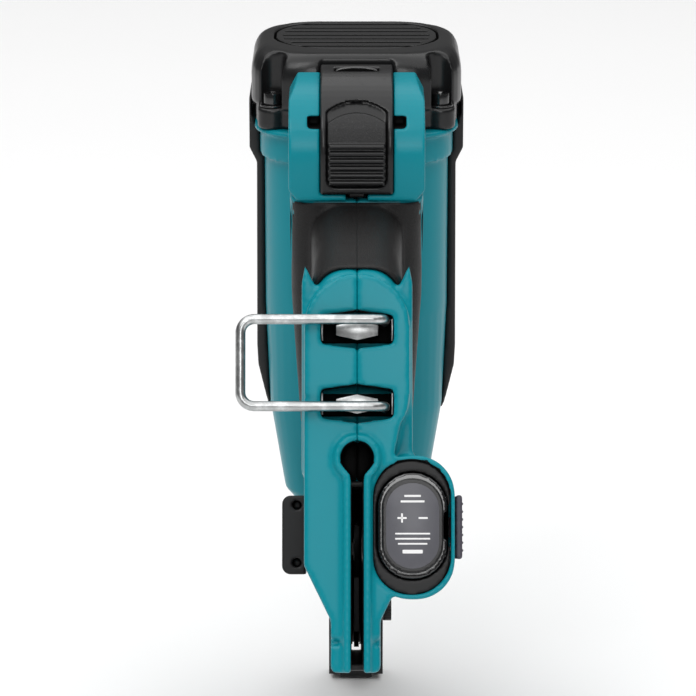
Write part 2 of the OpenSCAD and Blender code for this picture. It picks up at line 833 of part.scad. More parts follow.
module battery_terminals() {
  color("goldenrod") for (w = [62, 68, 78, 84])
    tail_prism(battery_u0, battery_u0 + 5) translate([battery_x - 3, w - 0.5]) square([6, 1]);
}

module release_button() {
  color(black) difference() {
    tail_prism(button_u0, tail_u - 6) translate([43.2, 58.5]) rounded(0, 2.8, 0, 28, 1.2);
  }
  color(black) tail_prism(button_u0 + 8, tail_u - 14) translate([40.6, 68]) square([2.7, 9]);
}

module button_spring() {
  color(steel) tail() translate([0, 64, button_u0 + 5]) translate([42.65, 0, 0])
    rotate([0, 90, 0]) translate([0, 0, -1.2]) coil(1.6, 0.4, 1.6, 3);
}

// ---------- belt hook ----------

hook_bend = 6;
hook_tip_u = foot_u0 + 7;
module hook_bracket() {
  color(steel) for (w = windows) {
    tail_prism(foot_u0 + 4.1, foot_u0 + 5.6) translate([-15.9, w - 5]) square([31.8, 10]);
    for (s = [-1, 1]) tail_prism(foot_u0 + 5.5, tail_u - 4)
      translate([s * 15.4 - 0.5, w - 5]) square([1, 10]);
    tail_prism(foot_u0 + 5.5, tail_u - 7) translate([0, w]) hexagon(9.4, 2.4, 4.4);
  }
}

module wire_run(p, turn, len) {
  tail() translate(p) rotate(turn) cylinder(r = wire_d / 2, h = len);
}

// Quarter bend of the wire, from local +X travel round to local +Y
module wire_bend(p, turn) {
  tail() translate(p) rotate(turn) rotate_extrude(angle = 90)
    translate([hook_bend, 0]) circle(wire_d / 2);
}

module belt_hook() {
  color(steel) {
    for (i = [0, 1]) {
      wire_run([hook_leg_x + hook_bend, hook_w[i], hook_u], [0, 90, 0],
        hook_end_x - 0.3 - hook_bend - hook_leg_x - hook_bend);
      wire_run([hook_end_x - 0.3, hook_w[i], hook_tip_u], [0, 0, 0], hook_u - hook_bend - hook_tip_u);
      wire_bend([hook_end_x - 0.3 - hook_bend, hook_w[i], hook_u - hook_bend], [90, 0, 0]);
    }
    wire_run([hook_leg_x, hook_w[1] + hook_bend, hook_u], [-90, 0, 0],
      hook_w[0] - hook_w[1] - 2 * hook_bend);
    wire_bend([hook_leg_x + hook_bend, hook_w[0] - hook_bend, hook_u], [0, 0, 90]);
    wire_bend([hook_leg_x + hook_bend, hook_w[1] + hook_bend, hook_u], [0, 0, 180]);
  }
}

housing_left();
housing_right();
head_cap();
filter_grille();
air_filter();
cap_screws();
side_guard_left();
side_guard_right();
bay_frame();
grip_cover();
cylinder_head();
head_seal();
spark_plug();
fan_motor();
cylinder_liner();
bumper();
driver_guide();
nose_plate();
nose_screws();
magazine_body();
magazine_rails();
nail_strip();
battery_terminals();
circuit_board();
trigger_switch();
trigger_pin();
fuel_cell();
fuel_valve();
battery_guide();
hook_bracket();
housing_screws();
door_hinge_pin();
trigger();
trigger_spring();
contact_foot();
nose_tip();
contact_linkage();
chamber_sleeve();
contact_springs();
depth_dial();
piston();
driver_blade();
piston_ring();
fan();
pusher();
pusher_knob();
pusher_spring();
fuel_door();
door_latch();
door_latch_spring();
battery_case();
battery_cap();
release_button();
button_spring();
belt_hook();
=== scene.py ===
"""Finished look of a cordless gas brad nailer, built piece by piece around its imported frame."""
import json
import math

import bmesh
import bpy
from mathutils import Matrix, Vector


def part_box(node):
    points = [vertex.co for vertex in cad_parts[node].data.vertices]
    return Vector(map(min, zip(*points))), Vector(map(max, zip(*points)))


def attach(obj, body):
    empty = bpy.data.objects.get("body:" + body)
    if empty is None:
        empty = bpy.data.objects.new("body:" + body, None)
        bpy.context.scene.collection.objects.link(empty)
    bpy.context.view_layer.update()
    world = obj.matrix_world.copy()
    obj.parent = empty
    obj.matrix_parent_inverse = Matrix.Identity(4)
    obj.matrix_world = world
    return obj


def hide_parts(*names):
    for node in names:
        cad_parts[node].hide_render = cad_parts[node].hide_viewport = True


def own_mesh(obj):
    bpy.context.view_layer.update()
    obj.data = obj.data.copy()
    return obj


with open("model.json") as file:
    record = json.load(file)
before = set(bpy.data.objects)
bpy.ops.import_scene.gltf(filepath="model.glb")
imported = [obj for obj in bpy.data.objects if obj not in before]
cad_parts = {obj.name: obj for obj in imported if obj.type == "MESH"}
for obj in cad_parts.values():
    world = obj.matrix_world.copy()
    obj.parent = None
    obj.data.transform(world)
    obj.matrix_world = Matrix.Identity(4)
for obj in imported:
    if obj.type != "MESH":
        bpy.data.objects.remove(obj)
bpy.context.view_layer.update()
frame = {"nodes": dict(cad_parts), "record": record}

bl_info = {
    "name": "Brad nailer",
    "version": (1, 0, 0),
    "blender": (4, 5, 0),
    "location": "3D View > Sidebar > Nailer",
    "description": "Builds the finished brad nailer around its frame",
    "category": "Object",
}

MM = 0.001
PER_MM = 1000
TILT = math.radians(20)
NODE_BODY = {n: b for b, names in frame["record"]["behaviour"]["bodies"].items() for n in names}
# Height up the tail of the loading mouth and of the two hook windows, and the mouth's radius, in mm
MOUTH_W, MOUTH_R = 102.7, 7.4
HOOK_W = (158.8, 126.4)
# Middle of the battery pocket across and up the tail, half its straight side and its end radius, in mm
POCKET_X, POCKET_W, POCKET_STRAIGHT, POCKET_R = 24.1, 73, 13.05, 16.9


def tail_point(x, w, u):
    """A place given across (x, w) and along (u) the tilted magazine, in the frame's axes."""
    y = w * math.sin(TILT) - u * math.cos(TILT)
    z = w * math.cos(TILT) + u * math.sin(TILT)
    return Vector((x, y, z))


def tail_reading(place):
    """The across (x, w) and along (u) of a place in the frame's axes."""
    w = place.y * math.sin(TILT) + place.z * math.cos(TILT)
    u = -place.y * math.cos(TILT) + place.z * math.sin(TILT)
    return place.x, w, u


# ---------------------------------------------------------------- settings


class NailerSizes(bpy.types.PropertyGroup):
    """Sizes a maker would change."""

    shell_voxel: bpy.props.FloatProperty(
        name="Shell detail", description="Grid size used to round the moulded shells",
        default=1.15 * MM, min=0.8 * MM, max=3 * MM, unit="LENGTH")
    trim_voxel: bpy.props.FloatProperty(
        name="Trim detail", description="Grid size used to round the small mouldings",
        default=0.6 * MM, min=0.4 * MM, max=2 * MM, unit="LENGTH")
    edge_width: bpy.props.FloatProperty(
        name="Edge break", description="Width of the bevel along machined edges",
        default=0.3 * MM, min=0.05 * MM, max=1 * MM, unit="LENGTH")
    camera_distance: bpy.props.FloatProperty(
        name="Camera distance", description="From the camera to the middle of the tool",
        default=1.5, min=0.5, max=4, unit="LENGTH")
    camera_lens: bpy.props.FloatProperty(
        name="Lens", description="Focal length in millimetres", default=169.0, min=50, max=300)
    camera_rise: bpy.props.FloatProperty(
        name="Camera height angle", description="Angle above level", default=math.radians(16.5),
        min=0, max=1.5, subtype="ANGLE")


def colour(title, default):
    return bpy.props.FloatVectorProperty(name=title, description=title + " colour", size=3,
                                         default=default, min=0, max=1, subtype="COLOR")


class NailerColours(bpy.types.PropertyGroup):
    """Colours of the mouldings and metals, in linear light."""

    shell: colour("Shell", (0.001, 0.212, 0.262))
    shell_pale: colour("Pale shell", (0.003, 0.250, 0.300))
    black: colour("Black plastic", (0.0105, 0.0105, 0.011))
    satin: colour("Satin black", (0.0070, 0.0070, 0.0075))
    grip: colour("Grip rubber", (0.0080, 0.0074, 0.0074))
    zinc: colour("Zinc wire", (0.50, 0.51, 0.51))
    steel: colour("Steel", (0.50, 0.50, 0.52))
    alloy: colour("Cast alloy", (0.62, 0.63, 0.65))
    label: colour("Battery label", (0.085, 0.085, 0.098))
    ink: colour("Printed marks", (0.80, 0.80, 0.80))
    button: colour("Release button", (0.050, 0.044, 0.062))
    can: colour("Fuel cell", (0.45, 0.03, 0.02))
    board: colour("Circuit board", (0.01, 0.10, 0.04))
    brass: colour("Brass", (0.70, 0.46, 0.14))
    ceramic: colour("Ceramic", (0.80, 0.78, 0.74))
    floor: colour("Floor", (0.92, 0.92, 0.92))


# ---------------------------------------------------------------- materials


class Value:
    """A number in a material. Arithmetic on it adds Math nodes."""

    def __init__(self, paint, socket):
        self.paint = paint
        self.socket = socket

    def _math(self, operation, first, second):
        made = self.paint.node("ShaderNodeMath", {"operation": operation}, {0: first, 1: second})
        return Value(self.paint, made.outputs[0])

    def __add__(self, other):
        return self._math("ADD", self, other)

    __radd__ = __add__

    def __sub__(self, other):
        return self._math("SUBTRACT", self, other)

    def __rsub__(self, other):
        return self._math("SUBTRACT", other, self)

    def __mul__(self, other):
        return self._math("MULTIPLY", self, other)

    __rmul__ = __mul__

    def above(self, level, width):
        """0 below level, 1 above level + width, and a ramp between."""
        made = self.paint.node("ShaderNodeMapRange", {"interpolation_type": "SMOOTHSTEP"},
                               {"Value": self, "From Min": level, "From Max": level + width})
        return Value(self.paint, made.outputs["Result"])

    def size(self):
        return self._math("ABSOLUTE", self, 0)



class Paint:
    """Builds one material around a Principled shader."""

    def __init__(self, name, base, **constants):
        self.material = bpy.data.materials.new(name)
        self.material.use_nodes = True
        self.tree = self.material.node_tree
        self.shader = self.tree.nodes["Principled BSDF"]
        self.shader.inputs["Base Color"].default_value = (*base, 1)
        for key, value in constants.items():
            socket = key.replace("_", " ").title().replace("Ior", "IOR")
            self.shader.inputs[socket].default_value = value
        self.place = self.node("ShaderNodeTexCoord").outputs["Object"]
        self.base = base

    def node(self, kind, settings=None, inputs=None):
        """Adds a node, makes its settings first, then fills its sockets with values or links."""
        made = self.tree.nodes.new(kind)
        for key, value in (settings or {}).items():
            setattr(made, key, value)
        for key, value in (inputs or {}).items():
            self.fill(made.inputs[key], value)
        return made

    def fill(self, socket, value):
        if isinstance(value, Value):
            value = value.socket
        if isinstance(value, bpy.types.NodeSocket):
            self.tree.links.new(value, socket)
        else:
            socket.default_value = value

    def stretched(self, scale):
        """Object coordinates multiplied by a scale on each axis."""
        made = self.node("ShaderNodeMapping", None, {"Vector": self.place, "Scale": scale})
        return made.outputs["Vector"]

    def noise(self, scale, detail=2.0, rough=0.5, where=None):
        made = self.node("ShaderNodeTexNoise", None, {
            "Vector": where or self.place, "Scale": scale, "Detail": detail, "Roughness": rough})
        return Value(self, made.outputs["Fac"])

    def cells(self, scale, feature="F1", where=None):
        made = self.node("ShaderNodeTexVoronoi", {"feature": feature},
                         {"Vector": where or self.place, "Scale": scale})
        return Value(self, made.outputs["Distance"])

    def mixed(self, amount, first, second):
        """A colour between first and second."""
        made = self.node("ShaderNodeMix", {"data_type": "RGBA"}, {0: amount})
        for slot, value in ((6, first), (7, second)):
            wanted = (*value, 1) if isinstance(value, tuple) else value
            self.fill(made.inputs[slot], wanted)
        return made.outputs[2]

    def colour(self, value):
        self.fill(self.shader.inputs["Base Color"], value)

    def roughness(self, value):
        self.fill(self.shader.inputs["Roughness"], value)

    def bump(self, height, strength, depth):
        made = self.node("ShaderNodeBump", None,
                         {"Strength": strength, "Distance": depth, "Height": height})
        self.fill(self.shader.inputs["Normal"], made.outputs["Normal"])

    def axis(self, name):
        """One coordinate of the place on the object."""
        split = self.node("ShaderNodeSeparateXYZ", None, {"Vector": self.place})
        return Value(self, split.outputs[name])


def shade(base, factor):
    """The same colour, lighter or darker."""
    return tuple(min(1.0, c * factor) for c in base)


def shell_finish(name, colours, inside=None):
    """Satin moulded plastic: faint orange peel, flow clouds and rub marks, with painted shade (near-black) on
    the inner walls of openings.
    """
    paint = Paint(name, colours.shell[:], specular_ior_level=0.20)
    cloud = paint.noise(9, 3, 0.55).above(0.35, 0.4)
    peel = paint.noise(1900, 2, 0.5)
    rub = paint.noise(70, 6, 0.75, paint.stretched((1, 1, 6))).above(0.66, 0.12)
    skin = paint.mixed(cloud * 0.35, colours.shell[:], colours.shell_pale[:])
    skin = paint.mixed(rub * 0.14, skin, shade(colours.shell_pale[:], 1.6))
    rough = 0.30 + cloud * 0.06 + rub * 0.10
    if inside:
        # Painted shade: the inner walls of openings are coloured near-black where shade falls, and made
        # rougher
        painted_shade = inside(paint).above(0.4, 0.2)
        skin = paint.mixed(painted_shade, skin, shade(colours.satin[:], 0.35))
        rough = rough + painted_shade * 0.35
    paint.colour(skin)
    paint.roughness(rough)
    paint.bump(peel + rub * 0.2, 0.08, 0.05 * MM)
    return paint.material


def between(value, low, high):
    """1 where a value lies between two others, 0 outside, with a soft edge a fifth of a unit wide."""
    return value.above(low - 0.1, 0.2) * (1 - value.above(high - 0.1, 0.2))


def tail_shade_mask(paint):
    """Mask of painted shade: where the shell is a wall of the loading mouth, its slot, a hook window or the
    battery pocket.
    """
    x = paint.axis("X") * PER_MM
    w = (paint.axis("Y") * math.sin(TILT) + paint.axis("Z") * math.cos(TILT)) * PER_MM
    u = (paint.axis("Z") * math.sin(TILT) - paint.axis("Y") * math.cos(TILT)) * PER_MM
    side = x.size()
    high = w - MOUTH_W
    mouth = 1 - (side * side + high * high).above(MOUTH_R ** 2 - 2, 4)
    funnel = between(w, 93, 101) * (1 - (side - (w - 93) * 0.63).above(2.8, 0.2))
    slot = (1 - side.above(2.8, 0.2)) * (1 - w.above(98, 0.2))
    loading = between(u, 214, 248.2) * (mouth + funnel + slot)
    hexagons = [1 - ((w - middle).size() + side * 0.1375).above(8.7, 0.2) for middle in HOOK_W]
    windows = (hexagons[0] + hexagons[1]) * (1 - side.above(16.3, 0.2)) * between(u, 232, 244.9)
    bent = (w - POCKET_W).size() - POCKET_STRAIGHT
    bent = (bent + bent.size()) * 0.5
    across = x - POCKET_X
    pocket = (1 - (across * across + bent * bent).above(POCKET_R ** 2 - 2, 4)) * between(u, 150, 245.4)
    return loading + windows + pocket


def bay_shade_mask(paint):
    """Mask of painted shade: where the bay frame is a wall of one of the catches beside the door, or of the
    door's seat.
    """
    side = paint.axis("X").size() * PER_MM
    y, z = paint.axis("Y") * PER_MM, paint.axis("Z") * PER_MM
    catch = between(side, 16.2, 22.8) * between(z, 302.2, 307.8) * y.above(-86.4, 0.2)
    seat = (1 - side.above(17.0, 0.2)) * y.above(-89.2, 0.2)
    return catch + seat


def tail_shell(colours):
    """The shell plastic of the housing halves, with painted shade on the inner walls of its openings."""
    return shell_finish("tail_shell", colours, tail_shade_mask)


def bay_shell(colours):
    """The shell plastic of the frame around the fuel bay, with painted shade in the catches beside the door
    and in the door's seat.
    """
    return shell_finish("bay_shell", colours, bay_shade_mask)


def black_plastic(colours):
    """Spark-textured black plastic with small scuffs."""
    paint = Paint("black_plastic", colours.black[:], specular_ior_level=0.32)
    spark = paint.noise(2600, 3, 0.6)
    scuff = paint.noise(180, 8, 0.75).above(0.66, 0.06)
    paint.colour(paint.mixed(scuff * 0.35, colours.black[:], shade(colours.black[:], 3.2)))
    paint.roughness(0.38 + spark * 0.12 + scuff * 0.12)
    paint.bump(spark, 0.18, 0.08 * MM)
    return paint.material


def satin_black(colours):
    """Smooth black plastic with a low sheen and fine handling marks."""
    paint = Paint("satin_black", colours.satin[:], specular_ior_level=0.36)
    marks = paint.noise(420, 6, 0.7, paint.stretched((1, 0.25, 0.25))).above(0.64, 0.06)
    paint.colour(paint.mixed(marks * 0.4, colours.satin[:], shade(colours.satin[:], 3)))
    paint.roughness(0.24 + paint.noise(40) * 0.10 + marks * 0.15)
    paint.bump(paint.noise(2200), 0.08, 0.04 * MM)
    return paint.material


def gloss_black(colours):
    """Polished black of screw heads and their washers, scuffed a little."""
    paint = Paint("gloss_black", colours.satin[:], specular_ior_level=0.7)
    scuff = paint.noise(600, 5, 0.7).above(0.6, 0.08)
    paint.colour(paint.mixed(scuff * 0.3, colours.satin[:], shade(colours.satin[:], 4)))
    paint.roughness(0.10 + paint.noise(90) * 0.08 + scuff * 0.15)
    paint.bump(scuff, 0.1, 0.03 * MM)
    return paint.material


def shadow_black(colours):
    """Painted shade: a dull near-black standing in for the shade on the inner walls of openings, with dust in
    its grain.
    """
    paint = Paint("shadow_black", shade(colours.satin[:], 0.35), specular_ior_level=0.08)
    dust = paint.noise(500, 5, 0.7).above(0.62, 0.1)
    paint.colour(paint.mixed(dust * 0.12, shade(colours.satin[:], 0.35), shade(colours.satin[:], 2)))
    paint.roughness(0.7 + dust * 0.15)
    paint.bump(dust, 0.1, 0.05 * MM)
    return paint.material


def dark_steel(colours):
    """Blackened steel, rubbed brighter on its high spots."""
    paint = Paint("dark_steel", shade(colours.steel[:], 0.09), metallic=1.0)
    rubbed = paint.noise(240, 6, 0.7).above(0.60, 0.12)
    paint.colour(paint.mixed(rubbed * 0.4, shade(colours.steel[:], 0.09), shade(colours.steel[:], 0.4)))
    paint.roughness(0.36 + paint.noise(60) * 0.1 - rubbed * 0.08)
    paint.bump(paint.noise(1300, 4), 0.12, 0.05 * MM)
    return paint.material


def stippled_black(colours):
    """Coarse stipple of the thumb pad."""
    paint = Paint("stippled_black", colours.black[:], specular_ior_level=0.4)
    grit = paint.noise(1500, 4, 0.7)
    paint.colour(paint.mixed(grit.above(0.52, 0.2), colours.satin[:], shade(colours.black[:], 3.5)))
    paint.roughness(0.42 + grit * 0.2)
    paint.bump(grit, 0.9, 0.25 * MM)
    return paint.material


def grip_rubber(colours):
    """Soft rubber with a leather grain, polished a little where the hand rubs."""
    paint = Paint("grip_rubber", colours.grip[:], specular_ior_level=0.24)
    grain = paint.cells(1050, "DISTANCE_TO_EDGE").above(0.02, 0.30)
    pores = paint.noise(3200, 3, 0.6)
    worn = paint.noise(26, 3).above(0.50, 0.25)
    seam = 1 - paint.axis("X").size().above(0.1 * MM, 0.25 * MM)
    skin = paint.mixed(grain, shade(colours.grip[:], 0.6), shade(colours.grip[:], 1.25))
    paint.colour(paint.mixed(seam, skin, shade(colours.grip[:], 0.25)))
    paint.roughness(0.44 + pores * 0.16 - worn * 0.10 + seam * 0.2)
    paint.bump(grain + pores * 0.4 - seam * 2, 0.45, 0.16 * MM)
    return paint.material


def soft_rubber(colours):
    """Matt rubber of seals, bumper and nose tip."""
    paint = Paint("soft_rubber", colours.black[:])
    bloom = paint.noise(90, 5, 0.7)
    paint.colour(paint.mixed(bloom, colours.black[:], shade(colours.black[:], 1.9)))
    paint.roughness(0.62 + bloom * 0.2)
    paint.bump(paint.noise(1600, 3), 0.2, 0.08 * MM)
    return paint.material


def zinc_wire(colours):
    """Bright zinc plate with draw lines and dull blotches."""
    paint = Paint("zinc_wire", colours.zinc[:], metallic=1.0)
    blotch = paint.noise(160, 5, 0.65)
    draw = paint.noise(900, 4, 0.6, paint.stretched((0.12, 1, 1)))
    dull, bright = shade(colours.zinc[:], 0.74), shade(colours.zinc[:], 1.22)
    paint.colour(paint.mixed(blotch.above(0.42, 0.3), dull, bright))
    paint.roughness(0.20 + blotch * 0.16 + draw * 0.08)
    paint.bump(draw + blotch * 0.5, 0.22, 0.06 * MM)
    return paint.material


def machined_steel(colours):
    """Ground steel with fine lines along the drive axis."""
    paint = Paint("machined_steel", colours.steel[:], metallic=1.0)
    lines = paint.noise(1400, 4, 0.6, paint.stretched((1, 1, 0.06)))
    stain = paint.noise(70, 4)
    paint.colour(paint.mixed(stain, shade(colours.steel[:], 0.8), shade(colours.steel[:], 1.2)))
    paint.roughness(0.24 + lines * 0.14 + stain * 0.08)
    paint.bump(lines, 0.15, 0.04 * MM)
    return paint.material


def cast_alloy(colours):
    """Die-cast aluminium with a sandy skin."""
    paint = Paint("cast_alloy", colours.alloy[:], metallic=1.0)
    sand = paint.noise(1100, 5, 0.7)
    paint.colour(paint.mixed(paint.noise(60, 3), shade(colours.alloy[:], 0.82), colours.alloy[:]))
    paint.roughness(0.34 + sand * 0.2)
    paint.bump(sand, 0.3, 0.1 * MM)
    return paint.material


def plain_finish(name, base, rough=0.45, metal=0.0, grain=1500, height=0.2):
    """A small part's finish: its colour a little clouded, with a fine grain."""
    paint = Paint(name, base, metallic=metal)
    cloud = paint.noise(120, 4)
    fine = paint.noise(grain, 3)
    paint.colour(paint.mixed(cloud, shade(base, 0.82), shade(base, 1.15)))
    paint.roughness(rough - 0.06 + cloud * 0.1 + fine * 0.06)
    paint.bump(fine, height, 0.06 * MM)
    return paint.material


def filter_foam(colours):
    """Open-cell foam of the air filter."""
    paint = Paint("filter_foam", shade(colours.grip[:], 2))
    holes = paint.cells(900).above(0.18, 0.4)
    paint.colour(paint.mixed(holes, shade(colours.grip[:], 3), shade(colours.grip[:], 0.5)))
    paint.roughness(0.85 - holes * 0.1)
    paint.bump(1 - holes, 0.8, 0.4 * MM)
    return paint.material


def studio_floor(colours):
    """Pale matt floor with the faintest mottling."""
    paint = Paint("studio_floor", colours.floor[:])
    paint.colour(paint.mixed(paint.noise(3), colours.floor[:], shade(colours.floor[:], 0.985)))
    paint.roughness(0.75 + paint.noise(40) * 0.1)
    return paint.material


MATERIALS = {}


def mix_materials(colours):
    """Makes every finish once."""
    for make in (tail_shell, bay_shell, black_plastic, satin_black, gloss_black, shadow_black, stippled_black,
                 grip_rubber, soft_rubber, zinc_wire, machined_steel, dark_steel, cast_alloy,
                 filter_foam, studio_floor):
        MATERIALS[make.__name__] = make(colours)
    MATERIALS["label_print"] = plain_finish("label_print", colours.label[:], 0.35, 0, 2400, 0.1)
    MATERIALS["ink"] = plain_finish("ink", colours.ink[:], 0.5, 0, 3000, 0.05)
    MATERIALS["button_plastic"] = plain_finish("button_plastic", colours.button[:], 0.4)
    MATERIALS["can_paint"] = plain_finish("can_paint", colours.can[:], 0.25, 0, 900, 0.1)
    MATERIALS["solder_mask"] = plain_finish("solder_mask", colours.board[:], 0.3)
    MATERIALS["brass"] = plain_finish("brass", colours.brass[:], 0.28, 1.0)
    MATERIALS["ceramic"] = plain_finish("ceramic", colours.ceramic[:], 0.2, 0, 600, 0.05)
    MATERIALS["grey_plastic"] = plain_finish("grey_plastic", colours.label[:], 0.5)


# ---------------------------------------------------------------- mesh helpers


def sizes():
    return bpy.context.scene.nailer_sizes


def dress(piece, *finishes):
    """Gives a piece or a CAD node its finishes."""
    piece.data.materials.clear()
    for finish in finishes:
        piece.data.materials.append(MATERIALS[finish])


def add_piece(name, shape, body, slot, *finishes, sharp=35):
    """Makes an object from a bmesh, shades it and lets it ride on a body."""
    mesh = bpy.data.meshes.new(name)
    shape.to_mesh(mesh)
    shape.free()
    piece = bpy.data.objects.new(name, mesh)
    bpy.context.scene.collection.objects.link(piece)
    shade_by_angle(piece, sharp)
    dress(piece, *finishes)
    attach(piece, body)
    return piece


def shade_by_angle(piece, degrees):
    piece.data.shade_smooth()
    piece.data.set_sharp_from_angle(angle=math.radians(degrees))


def settle(piece):
    """Applies a piece's modifiers into its mesh."""
    graph = bpy.context.evaluated_depsgraph_get()
    settled = bpy.data.meshes.new_from_object(piece.evaluated_get(graph))
    rough = piece.data
    piece.modifiers.clear()
    piece.data = settled
    bpy.data.meshes.remove(rough)


def merged_copy(node):
    """A bmesh of a CAD node with its loose triangles joined."""
    shape = bmesh.new()
    shape.from_mesh(frame["nodes"][node].data)
    bmesh.ops.remove_doubles(shape, verts=shape.verts, dist=0.003 * MM)
    return shape


def moulded(node, finish, slot, voxel, rounds=4, limit=120000):
    """Stands for a CAD moulding: the same solid with its edges moulded round."""
    piece = add_piece(node + "_moulding", merged_copy(node), NODE_BODY[node], slot, finish)
    skin = piece.modifiers.new("Skin", "REMESH")
    skin.mode = "VOXEL"
    skin.voxel_size = voxel
    soften = piece.modifiers.new("Soften", "SMOOTH")
    soften.factor = 0.5
    soften.iterations = rounds
    settle(piece)
    triangles = 2 * len(piece.data.polygons)
    if triangles > limit:
        thin = piece.modifiers.new("Thin", "DECIMATE")
        thin.ratio = limit / triangles
        settle(piece)
    piece.data.shade_smooth()
    dress(piece, finish)
    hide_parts(node)
    return piece


def machined(node, finish, slot, width=None, segments=2):
    """Stands for a CAD part with its edges broken by a small bevel."""
    shape = merged_copy(node)
    bmesh.ops.dissolve_limit(shape, angle_limit=math.radians(1), verts=shape.verts, edges=shape.edges)
    piece = add_piece(node + "_finished", shape, NODE_BODY[node], slot, finish)
    edge = piece.modifiers.new("Edge", "BEVEL")
    edge.width = width or sizes().edge_width
    edge.segments = segments
    edge.limit_method = "ANGLE"
    edge.angle_limit = math.radians(32)
    settle(piece)
    shade_by_angle(piece, 30)
    dress(piece, finish)
    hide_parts(node)
    return piece


def paint_faces(piece, finish, chosen):
    """Gives the faces that pass a test on their centre and normal a finish of their own."""
    piece.data.materials.append(MATERIALS[finish])
    spot = len(piece.data.materials) - 1
    for face in piece.data.polygons:
        if chosen(face.center, face.normal):
            face.material_index = spot


def plate(outline, thickness):
    """A bmesh prism on an outline of points in the XY plane, from z 0 up."""
    shape = bmesh.new()
    face = shape.faces.new([shape.verts.new((x, y, 0)) for x, y in outline])
    bmesh.ops.recalc_face_normals(shape, faces=[face])
    raised = bmesh.ops.extrude_face_region(shape, geom=[face])
    tops = [v for v in raised["geom"] if isinstance(v, bmesh.types.BMVert)]
    bmesh.ops.translate(shape, verts=tops, vec=(0, 0, thickness))
    bmesh.ops.recalc_face_normals(shape, faces=shape.faces)
    return shape


def break_edges(shape, width, segments=2, angle=30):
    """Bevels every edge of a bmesh that is sharper than an angle."""
    sharp = [e for e in shape.edges if e.is_manifold and e.calc_face_angle() > math.radians(angle)]
    bmesh.ops.bevel(shape, geom=sharp, offset=width, segments=segments, profile=0.5,
                    affect="EDGES", material=-1, clamp_overlap=True)


def turn(shape, matrix):
    bmesh.ops.transform(shape, matrix=matrix, verts=shape.verts)


def rounded_outline(half_x, half_y, radius, steps=8):
    """Points of a rectangle about the origin with round corners."""
    corners = ((half_x - radius, half_y - radius, 0), (radius - half_x, half_y - radius, 1),
               (radius - half_x, radius - half_y, 2), (half_x - radius, radius - half_y, 3))
    return [(cx + radius * math.cos(math.pi / 2 * (quarter + k / steps)),
             cy + radius * math.sin(math.pi / 2 * (quarter + k / steps)))
            for cx, cy, quarter in corners for k in range(steps + 1)]


def ring(inner, outer, height, round_by, steps=40):
    """A bmesh washer about Z with round edges, from z 0 up."""
    shape = bmesh.new()
    corners = [(inner, 0), (outer, 0), (outer, height), (inner, height)]
    section = [shape.verts.new((r, 0, z)) for r, z in corners]
    edges = [shape.edges.new((section[k], section[(k + 1) % 4])) for k in range(4)]
    bmesh.ops.spin(shape, geom=section + edges, cent=(0, 0, 0), axis=(0, 0, 1), angle=math.tau,
                   steps=steps, use_merge=True)
    bmesh.ops.recalc_face_normals(shape, faces=shape.faces)
    break_edges(shape, round_by, 3, 40)
    return shape


def rod(path, radius, sides=12):
    """A bmesh bar of round section along a path of points, with closed ends."""
    shape = bmesh.new()
    rings = []
    for k, point in enumerate(path):
        along = (path[min(k + 1, len(path) - 1)] - path[max(k - 1, 0)]).normalized()
        facing = along.to_track_quat("Z", "Y").to_matrix().to_4x4()
        made = bmesh.ops.create_circle(shape, cap_ends=False, radius=radius, segments=sides,
                                       matrix=Matrix.Translation(point) @ facing)
        rings.append(made["verts"])
    for first, second in zip(rings, rings[1:]):
        loops = {e for v in first + second for e in v.link_edges if len(e.link_faces) < 2}
        bmesh.ops.bridge_loops(shape, edges=list(loops))
    bmesh.ops.holes_fill(shape, edges=shape.edges)
    bmesh.ops.recalc_face_normals(shape, faces=shape.faces)
    return shape


def tail_matrix(x, w, u):
    """Places a shape modelled flat on XY onto the tail: its Y up the tail, its Z out of the face."""
    across, up = Vector((1, 0, 0)), tail_point(0, 1, 0)
    out = tail_point(0, 0, 1)
    turned = Matrix((across, up, out)).transposed().to_4x4()
    return Matrix.Translation(tail_point(x, w, u)) @ turned


def join(whole, part):
    """Adds one bmesh to another."""
    carrier = bpy.data.meshes.new("carrier")
    part.to_mesh(carrier)
    part.free()
    whole.from_mesh(carrier)
    bpy.data.meshes.remove(carrier)


def add_light(name, place, aim, size, power):
    """A square soft light aimed at the tool."""
    lamp = bpy.data.lights.new(name, "AREA")
    lamp.size = size
    lamp.energy = power
    holder = bpy.data.objects.new(name, lamp)
    holder.location = place
    holder.rotation_euler = (aim - Vector(place)).to_track_quat("-Z", "Y").to_euler()
    bpy.context.scene.collection.objects.link(holder)


# ---------------------------------------------------------------- the pieces


# Plain bars and a plus and minus sign printed on the battery: across, up, half width, half height
LABEL_MARKS = [(0, 13.0, 3.6, 0.45), (0, 10.6, 5.2, 0.45), (-4.6, 3.4, 2.0, 0.4), (-4.6, 3.4, 0.4, 2.0),
               (4.6, 3.4, 2.0, 0.4), (0, -3.4, 7.6, 0.35), (0, -5.6, 7.6, 0.35), (0, -7.8, 6.4, 0.35),
               (0, -11.2, 4.4, 0.8)]


class NAILER_OT_materials(bpy.types.Operator):
    """Mixes the finishes that the pieces are given"""

    bl_idname = "nailer.materials"
    bl_label = "Materials"

    def execute(self, context):
        mix_materials(context.scene.nailer_colours)
        return {"FINISHED"}


class NAILER_OT_housing(bpy.types.Operator):
    """The two housing halves and the screws that join them"""

    bl_idname = "nailer.housing"
    bl_label = "Housing"

    def execute(self, context):
        for side in ("left", "right"):
            node = "housing_" + side
            moulded(node, "tail_shell", "housing_shell", sizes().shell_voxel, 5, 180000)
        machined("housing_screws", "machined_steel", "steel_parts")
        return {"FINISHED"}


